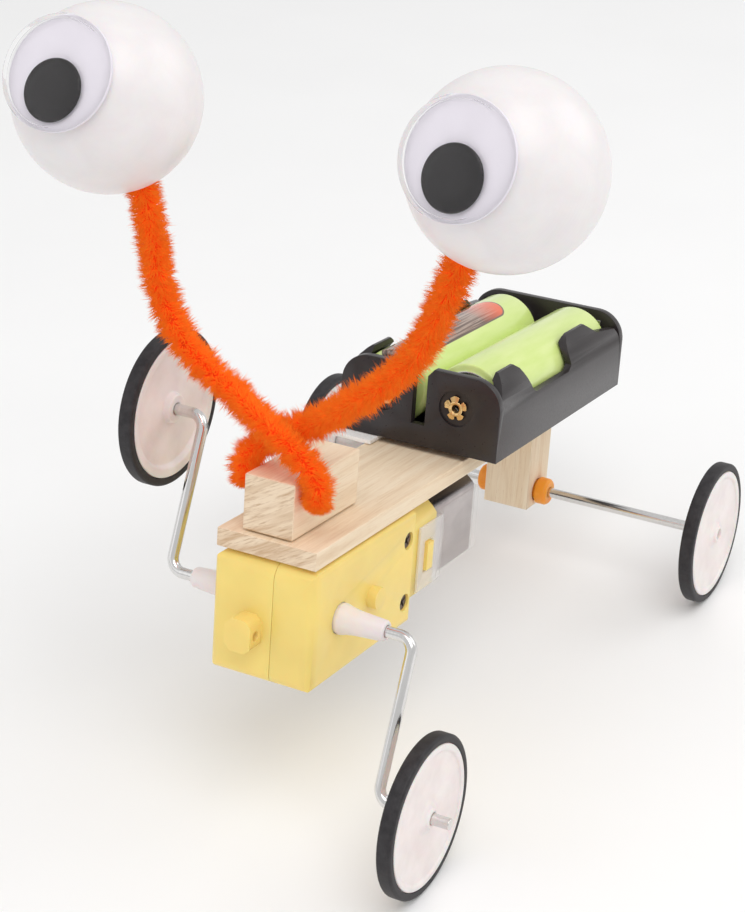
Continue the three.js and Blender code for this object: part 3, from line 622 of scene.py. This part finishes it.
def rivet(side):
    """Split brass rivet: a rolled lip round a dark eyelet, its rim torn into uneven petals."""
    low, high = span(f"{side}_rivet")
    middle = (low + high) / 2
    place = CHASSIS @ Matrix.Translation(Vector((middle.x, low.y, middle.z)) * MM)
    depth = high.y - low.y
    eyelet = [(0.75, depth), (1.1, depth), (1.1, 0.6), (1.45, 0.15), (1.15, -0.02), (0.75, 0.25),
              (0.75, depth)]
    bm = turn(eyelet, "Y", 48, 0.1)
    rng = random.Random(5 if side == "left" else 9)
    for k in range(5):
        start = k * 2 * math.pi / 5 + rng.uniform(-0.12, 0.12)
        wide = rng.uniform(0.75, 1.05)
        outer = rng.uniform(2.25, 2.5)
        rings = []
        for step in range(9):
            a = start + wide * step / 8
            worn = outer - 0.25 * abs(step - 4) / 4 * rng.uniform(0.6, 1.4)
            rings.append([bm.verts.new((r * math.cos(a), y, r * math.sin(a)))
                          for r, y in ((1.2, 0.12), (worn, 0.3), (worn, 0.55), (1.2, 0.5))])
        for a, b in zip(rings, rings[1:]):
            for j in range(4):
                bm.faces.new((a[j], b[j], b[(j + 1) % 4], a[(j + 1) % 4]))
        bm.faces.new(rings[0])
        bm.faces.new(rings[-1][::-1])
    soften(make(f"{side}_split_rivet", bm, place, "brass_metal", [f"{side}_rivet"]), 0.06, 2, 50)


def spring(side):
    """A conical contact spring and the plate behind it."""
    low, high = span(f"{side}_contact_spring")
    middle = (low + high) / 2
    r_wide, r_tip, turns = 4.6, 1.6, 2.5
    length = high.y - low.y - 0.6
    way = 1 if side == "right" else -1
    path = []
    for i in range(90):
        t = i / 89
        a, r = 2 * math.pi * turns * t, r_wide + (r_tip - r_wide) * t
        path.append(Vector((r * math.cos(a), way * (t - 0.5) * length, r * math.sin(a))))
    place = CHASSIS @ Matrix.Translation(middle * MM)
    make(f"{side}_contact_coil", sweep(path, 0.3, 10), place, "bright_steel", [f"{side}_contact_spring"])
    leaf = f"{side}_contact_leaf"
    slab(f"{side}_contact_plate", *span(leaf), "bright_steel", [leaf], edge=0.08)


# ---- wheels, cranks and axle: profiles of (radius, place) ----
DISC = [(1.06, -0.3), (2.5, -0.3), (2.8, 0.9), (10.4, 1.1), (10.9, 0.1), (12.5, 0), (12.5, 2.8),
        (11.4, 2.8), (11.1, 2.45), (3.0, 2.3), (1.85, 2.8), (1.6, 3.3), (1.06, 3.3), (1.06, -0.3)]
BAND = [(12.55, 0.05), (13.6, 0.05), (14, 0.35), (14, 2.45), (13.6, 2.75), (12.55, 2.75), (12.55, 0.05)]
BUSH = [(1.08, 1.6), (1.95, 1.6), (1.95, 5.05), (2.55, 5.1), (2.75, 5.4), (2.7, 7.1), (2.3, 7.6),
        (1.08, 7.6), (1.08, 1.6)]


def wheel(name, side):
    """One wheel, turned in its own frame with local X out of its outer face."""
    low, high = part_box(f"{name}_tyre")
    middle = (low + high) / 2
    face = Matrix.Rotation(0 if side > 0 else math.pi, 4, "Z")
    place = Matrix.Translation(middle) @ face @ Matrix.Translation(Vector((-WHEEL_HALF_WIDTH * MM, 0, 0)))
    make(f"{name}_web", turn(DISC, "X", 96, 0.3), place, "milky_plastic", [f"{name}_disc"])
    make(f"{name}_band", turn(BAND, "X", 96, 0.25), place, "tyre_rubber", [f"{name}_tyre"])


def crank(side, sign):
    """Bright wire: out of the shaft end, down the arm, and out through the wheel."""
    wheel_axis = Vector(JOINT[f"{side}_front_wheel_spin"]["pos_m"])
    down = wheel_axis - SHAFT
    down.x = 0
    outward = Vector((1, 0, 0))
    axes = Matrix((outward, down.normalized().cross(outward), down.normalized()))
    place = Matrix.Translation(SHAFT) @ axes.transposed().to_4x4()
    low, high = span(f"{side}_crank", place)
    reach = down.length / MM
    tip = high.x if sign > 0 else -low.x
    route = ((CRANK_INNER, 0), (CRANK_PLANE, 0), (CRANK_PLANE, reach), (tip, reach))
    corners = [Vector((sign * x, 0, z)) for x, z in route]
    bm = sweep(arc_path(corners, CRANK_BEND, 12), WIRE_RADIUS, 24)
    piece = make(f"{side}_crank_wire", bm, place, "bright_steel", [f"{side}_crank"])
    return soften(piece, 0.15, 2, 60)


def rolling_parts():
    crank("right", 1)
    crank("left", -1)
    for side, sign in (("left", -1), ("right", 1)):
        wheel(f"{side}_front_wheel", sign)
        wheel(f"{side}_rear_wheel", sign)
        bush(side, sign)
    low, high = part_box("rear_axle")
    axle_middle = (low + high) / 2
    half = (high.x - low.x) / 2 / MM
    profile = [(0, -half), (WIRE_RADIUS, -half), (WIRE_RADIUS, half), (0, half)]
    bm = turn(profile, "X", 28, 0.2)
    make("rear_axle_wire", bm, Matrix.Translation(axle_middle), "bright_steel", ["rear_axle"])


def bush(side, sign):
    """One orange axle bush, flange outward."""
    low, high = span(f"{side}_bush")
    middle = (low + high) / 2
    place = CHASSIS @ Matrix.Translation(Vector((0, middle.y, middle.z)) * MM)
    if sign < 0:
        place = place @ Matrix.Rotation(math.pi, 4, "Z")
    make(f"{side}_axle_bush", turn(BUSH, "X", 40, 0.2), place, "orange_plastic", [f"{side}_bush"])


# ---- chenille stems ----
STEMS = {
    "left": [(6.9, -5, 21.6), (7.1, -5, 23.2), (6.7, -5.3, 25.4), (4.6, -5.7, 27.8), (1.8, -6.1, 30.4),
             (-3.6, -6.2, 33.6), (-9.3, -5, 36.6), (-14.3, -5.3, 39.6), (-18.7, -6.7, 44.2),
             (-21.3, -8.5, 50.3), (-22.1, -10.4, 57), (-22.1, -12.7, 65), (-22.6, -14.2, 70),
             (-23.2, -15.4, 74)],
    "right": [(-8.2, -2.6, 21.8), (-8.5, -2.6, 23.4), (-8, -2.4, 25.8), (-5.6, -1.6, 28.2),
              (-1.4, -0.9, 30.8), (3.8, -1, 33.6), (9.1, -3.6, 37.4), (14.6, -5.8, 41.6),
              (20.3, -7.6, 46.4), (24.7, -9.2, 51.5), (27.9, -10.9, 57), (30.6, -12.6, 62.6),
              (33.2, -14.2, 68.4), (35.2, -15.4, 73)],
}
CORE_RADIUS = 1.35
PILE_ROOT = 0.9
PILE_REACH = 3.55
FIBRES_PER_MM = 210
TUFT_LENGTH = 0.75
TUFT_RINGS = 160
TUFTS_ROUND = 11
TWIST_PER_MM = 1.4
TAIL_FIBRES = 900
THIRDS_OF_A_TURN = (0, 2.094, 4.189)


def smooth_route(points, steps=14):
    """A smooth curve through all the points."""
    pts = [Vector(p) for p in points]
    pts = [pts[0] * 2 - pts[1]] + pts + [pts[-1] * 2 - pts[-2]]
    path = []
    for a, b, c, d in zip(pts, pts[1:], pts[2:], pts[3:]):
        for k in range(steps):
            t = k / steps
            path.append(0.5 * (2 * b + (c - a) * t + (2 * a - 5 * b + 4 * c - d) * t * t
                               + (3 * b - a - 3 * c + d) * t ** 3))
    return path + [pts[-2]]


def stem(side, seed):
    """A wire core with cut pile all round it: one thin three-sided spike for each tuft of fibre."""
    rng = random.Random(seed)
    path = smooth_route(STEMS[side])
    core = sweep(path, CORE_RADIUS, 12)
    # The core carries painted shade: a darker red than the pile around it.
    make(f"{side}_stem_core", core, CHASSIS, "chenille_core", [f"{side}_stem"])
    # Each tuft has its own length and its own lean along the stem.
    tufts = [[(rng.uniform(0.8, 1.1), rng.gauss(0, 0.28)) for _ in range(TUFTS_ROUND)]
             for _ in range(TUFT_RINGS)]
    bm = bmesh.new()
    travelled = 0.0
    for a, b in zip(path, path[1:]):
        ahead = b - a
        length = ahead.length
        ahead.normalize()
        side_a = ahead.orthogonal().normalized()
        side_b = ahead.cross(side_a)
        count = length * FIBRES_PER_MM
        for _ in range(int(count) + (rng.random() < count % 1)):
            t = rng.random()
            along = travelled + t * length
            twist = along * TWIST_PER_MM
            angle = rng.uniform(0, 2 * math.pi)
            out = side_a * math.cos(angle) + side_b * math.sin(angle)
            ring = tufts[int(along / TUFT_LENGTH) % TUFT_RINGS]
            tuft_reach, tuft_lean = ring[int(angle / math.tau * TUFTS_ROUND) % TUFTS_ROUND]
            ridge = 1 + 0.1 * math.cos(2 * (angle - twist))
            reach = PILE_REACH * ridge * tuft_reach * rng.uniform(0.8, 1.05)
            lean = ahead * (tuft_lean + rng.gauss(0, 0.16))
            lean = lean + side_a * rng.gauss(0, 0.13) + side_b * rng.gauss(0, 0.13)
            base = a + ahead * (t * length) + out * PILE_ROOT
            tip = base + (out + lean).normalized() * (reach - PILE_ROOT)
            thick = rng.uniform(0.09, 0.15)
            across = out.cross(lean + ahead * 0.01).normalized()
            other = out.cross(across)
            foot = [base + (across * math.cos(q) + other * math.sin(q)) * thick for q in THIRDS_OF_A_TURN]
            spike(bm, foot, tip)
        travelled += length
    tail_pile(bm, path, rng)
    make(f"{side}_stem_pile", bm, CHASSIS, "chenille", [f"{side}_stem"])


def spike(bm, foot, tip):
    """One three-sided spike from three foot points to its tip."""
    root = [bm.verts.new(p) for p in foot]
    top = bm.verts.new(tip)
    for k in range(3):
        bm.faces.new((root[k], root[(k + 1) % 3], top))


def tail_pile(bm, path, rng):
    """Pile that closes the free end of the stem."""
    end, ahead = path[0], (path[0] - path[1]).normalized()
    side_a = ahead.orthogonal().normalized()
    side_b = ahead.cross(side_a)
    for _ in range(TAIL_FIBRES):
        z = rng.uniform(0, 1)
        angle = rng.uniform(0, 2 * math.pi)
        ring = math.sqrt(1 - z * z)
        out = (side_a * math.cos(angle) + side_b * math.sin(angle)) * ring + ahead * z
        tip = end + out * PILE_REACH * rng.uniform(0.8, 1.0) * (1 - 0.35 * z)
        across = out.orthogonal().normalized() * 0.12
        root = end + out * 0.5
        spike(bm, [root - across, root + across, root + out.cross(across)], tip)


# ---- eyes ----
CARD_BASE = BALL_FLAT + 0.3
DOME_BASE = CARD_BASE + 0.95
# Each eye part as (radius, height above its own base).
CARD = [(0, 0), (8.7, 0), (9, 0.3), (9, 0.8), (0, 0.8)]
DOME_OUTSIDE = [(9, 0), (9, 1.3), (8.75, 1.9), (7.9, 2.55), (6.3, 3.15), (3.6, 3.6), (0, 3.78)]
DOME_INSIDE = [(0, 3.2), (3.5, 3.02), (6.0, 2.6), (7.5, 2.0), (8.2, 1.4), (8.4, 0.9), (8.4, 0)]
PUPIL = [(0, 0.2), (4.8, 0.2), (5, 0.45), (4.8, 0.85), (3, 1.05), (0, 1.15)]


def raised(profile, base):
    """The profile moved up by base."""
    return [(radius, base + height) for radius, height in profile]


def ball_profile(steps=56):
    """A ball cut flat in front, from the middle of the flat round to the back."""
    rim = math.sqrt(BALL_RADIUS ** 2 - BALL_FLAT ** 2)
    start = math.asin(rim / BALL_RADIUS)
    angles = [start + (math.pi - start) * k / steps for k in range(steps)]
    arc = [(BALL_RADIUS * math.sin(a), BALL_RADIUS * math.cos(a)) for a in angles]
    return [(0, BALL_FLAT), (rim * 0.6, BALL_FLAT)] + arc + [(0, -BALL_RADIUS)]


def eye(side):
    """A ball with a flat front that carries a card, a clear dome and the loose pupil between them."""
    place = eye_frame(side)
    ball = turn(ball_profile(), "Z", 96, 0.05)
    make(f"{side}_eye_ball", ball, place, "ball_plastic", [f"{side}_eyeball"])
    card = turn(raised(CARD, CARD_BASE), "Z", 80, 0.15)
    make(f"{side}_eye_card", card, place, "eye_card", [f"{side}_eye_back"])
    shell = turn(raised(DOME_OUTSIDE + DOME_INSIDE + DOME_OUTSIDE[:1], DOME_BASE), "Z", 80, 0.5)
    make(f"{side}_eye_cover", shell, place, "clear_dome", [f"{side}_eye_dome"])
    pupil = turn(raised(PUPIL, DOME_BASE), "Z", 64, 0.15)
    low, high = span(f"{side}_pupil", place)
    middle = (low + high) / 2
    dropped = place @ Matrix.Translation(Vector((middle.x, middle.y, 0)) * MM)
    make(f"{side}_pupil_disc", pupil, dropped, "pupil_black", [f"{side}_pupil"])


camera()
studio()
woodwork()
gearbox_and_motor()
battery()
rolling_parts()
stem("left", 11)
stem("right", 23)
eye("left")
eye("right")

# Nodes that keep their CAD shape get their slot's material.
for node_name, node_object in frame["nodes"].items():
    node_object.data.materials.clear()
    node_object.data.materials.append(MATS[SLOT[node_name]].mat)
